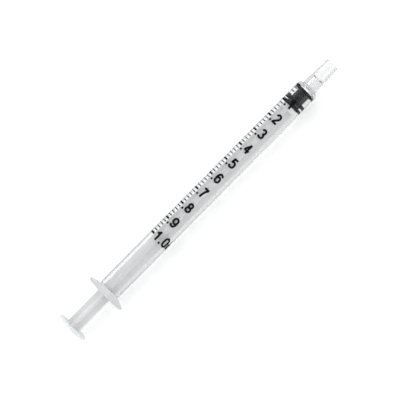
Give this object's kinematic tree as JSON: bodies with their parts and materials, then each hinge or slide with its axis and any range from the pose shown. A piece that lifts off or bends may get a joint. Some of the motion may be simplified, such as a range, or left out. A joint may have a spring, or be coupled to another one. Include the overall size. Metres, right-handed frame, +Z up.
{
  "type": "oral syringe",
  "caption": "Small clear oral syringe with an oval finger flange, black rubber stopper, cross-shaped plunger rod and tapered blunt tip, for measuring liquid medicine.",
  "frame": {"origin": "on the barrel's axis at the zero line of the scale, where the front edge of the stopper's sealing rib stands with the plunger fully in", "axes": "+X along the barrel towards the tip, +Z up, Y along the long way of the oval flange"},
  "size_m": [0.1037, 0.013, 0.0098],
  "materials": {
    "clear_plastic": "clear, slightly frosted at the flange",
    "black_rubber": "satin, wetted with silicone oil",
    "milky_plastic": "milky translucent"
  },
  "bodies": {
    "barrel": {"barrel": "clear_plastic"},
    "stopper": {"stopper": "black_rubber"},
    "plunger_rod": {"plunger_rod": "milky_plastic"}
  },
  "joints": [
    {"name": "plunger_slide", "type": "slide", "parent": "barrel", "child": "stopper", "axis": [-1, 0, 0], "range_m": [0, 0.0697]},
    {"name": "rod_turn", "type": "hinge", "parent": "stopper", "child": "plunger_rod", "pos_m": [-0.004, 0, 0], "axis": [1, 0, 0], "continuous": true}
  ]
}
